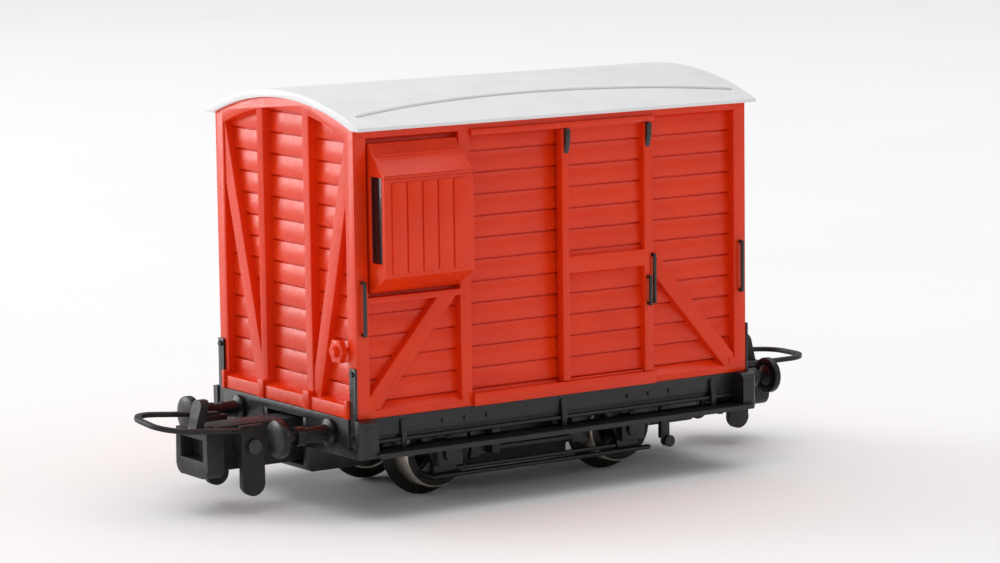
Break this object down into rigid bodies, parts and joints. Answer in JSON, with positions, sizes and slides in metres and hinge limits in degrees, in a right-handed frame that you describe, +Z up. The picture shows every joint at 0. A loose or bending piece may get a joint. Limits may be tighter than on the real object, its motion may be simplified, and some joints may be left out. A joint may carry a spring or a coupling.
{
  "type": "model railway brake van",
  "caption": "Narrow-gauge four-wheel model brake van with planked red body, sliding doors, side lookouts, curved roof, buffers and hook-and-loop couplers.",
  "frame": {"origin": "on the plane that the wheel flanges touch, below the middle of the van", "axes": "+X along the track, +Z up, +Y to the far side; the lookouts are nearer the -X end"},
  "size_m": [0.0594, 0.0238, 0.0303],
  "materials": {
    "body_red": "satin moulded, faint orange-peel",
    "roof_grey": "smooth satin",
    "chassis_black": "satin moulded",
    "coupler_black": "semi-gloss moulded",
    "fitting_black": "satin black enamel",
    "wheel_metal": "blackened, rims worn bright",
    "wheel_centre": "satin moulded",
    "axle_steel": "turned",
    "cup_brass": "turned",
    "glazing_dark": "smooth gloss",
    "ballast_steel": "mill finish",
    "screw_steel": "blackened"
  },
  "bodies": {
    "van": {"axle_guard_left_far": "chassis_black", "axle_guard_left_near": "chassis_black", "axle_guard_right_far": "chassis_black", "axle_guard_right_near": "chassis_black", "ballast_weight": "ballast_steel", "bearing_cups": "cup_brass", "body_end_left": "body_red", "body_end_right": "body_red", "body_side_far": "body_red", "body_side_near": "body_red", "brake_gear_far": "chassis_black", "brake_gear_near": "chassis_black", "buffer_heads": "coupler_black", "buffer_housings": "coupler_black", "chassis_floor": "chassis_black", "corner_straps": "fitting_black", "coupler_pocket_left": "chassis_black", "coupler_pocket_right": "chassis_black", "door_rail_bottom_far": "body_red", "door_rail_bottom_near": "body_red", "door_rail_top_far": "body_red", "door_rail_top_near": "body_red", "ducket_far": "body_red", "ducket_glazing": "glazing_dark", "ducket_near": "body_red", "footboard_brackets": "chassis_black", "footboard_far": "chassis_black", "footboard_near": "chassis_black", "handrails": "fitting_black", "handwheel": "body_red", "headstock_left": "chassis_black", "headstock_right": "chassis_black", "pivot_screws": "screw_steel", "rain_strips": "roof_grey", "roof": "roof_grey", "screw_blocks": "body_red", "solebar_far": "chassis_black", "solebar_near": "chassis_black", "tie_bar_far": "chassis_black", "tie_bar_near": "chassis_black"},
    "wheelset_left": {"axle_left": "axle_steel", "wheel_left_near": "wheel_metal", "wheel_left_far": "wheel_metal", "wheel_centres_left": "wheel_centre"},
    "wheelset_right": {"axle_right": "axle_steel", "wheel_right_near": "wheel_metal", "wheel_right_far": "wheel_metal", "wheel_centres_right": "wheel_centre"},
    "door_leaf_near": {"door_near": "body_red", "door_hangers_near": "fitting_black", "door_handle_near": "fitting_black"},
    "door_leaf_far": {"door_far": "body_red", "door_hangers_far": "fitting_black", "door_handle_far": "fitting_black"},
    "coupler_arm_left": {"coupler_left": "coupler_black", "loop_pin_left": "fitting_black"},
    "coupler_arm_right": {"coupler_right": "coupler_black", "loop_pin_right": "fitting_black"},
    "loop_left": {"coupling_loop_left": "coupler_black"},
    "loop_right": {"coupling_loop_right": "coupler_black"}
  },
  "joints": [
    {"name": "axle_left_spin", "type": "hinge", "parent": "van", "child": "wheelset_left", "pos_m": [-0.0083, 0, 0.0036], "axis": [0, 1, 0], "continuous": true},
    {"name": "axle_right_spin", "type": "hinge", "parent": "van", "child": "wheelset_right", "pos_m": [0.0083, 0, 0.0036], "axis": [0, 1, 0], "continuous": true},
    {"name": "door_near_slide", "type": "slide", "parent": "van", "child": "door_leaf_near", "axis": [-1, 0, 0], "range_m": [0, 0.0079]},
    {"name": "door_far_slide", "type": "slide", "parent": "van", "child": "door_leaf_far", "axis": [-1, 0, 0], "range_m": [0, 0.0079]},
    {"name": "coupler_left_swing", "type": "hinge", "parent": "van", "child": "coupler_arm_left", "pos_m": [-0.0146, 0, 0.0047], "axis": [0, 0, 1], "range_deg": [-12, 12]},
    {"name": "coupler_right_swing", "type": "hinge", "parent": "van", "child": "coupler_arm_right", "pos_m": [0.0146, 0, 0.0047], "axis": [0, 0, 1], "range_deg": [-12, 12]},
    {"name": "loop_left_lift", "type": "hinge", "parent": "coupler_arm_left", "child": "loop_left", "pos_m": [-0.0222, 0, 0.005], "axis": [0, 1, 0], "range_deg": [0, 40]},
    {"name": "loop_right_lift", "type": "hinge", "parent": "coupler_arm_right", "child": "loop_right", "pos_m": [0.0222, 0, 0.005], "axis": [0, -1, 0], "range_deg": [0, 40]}
  ]
}
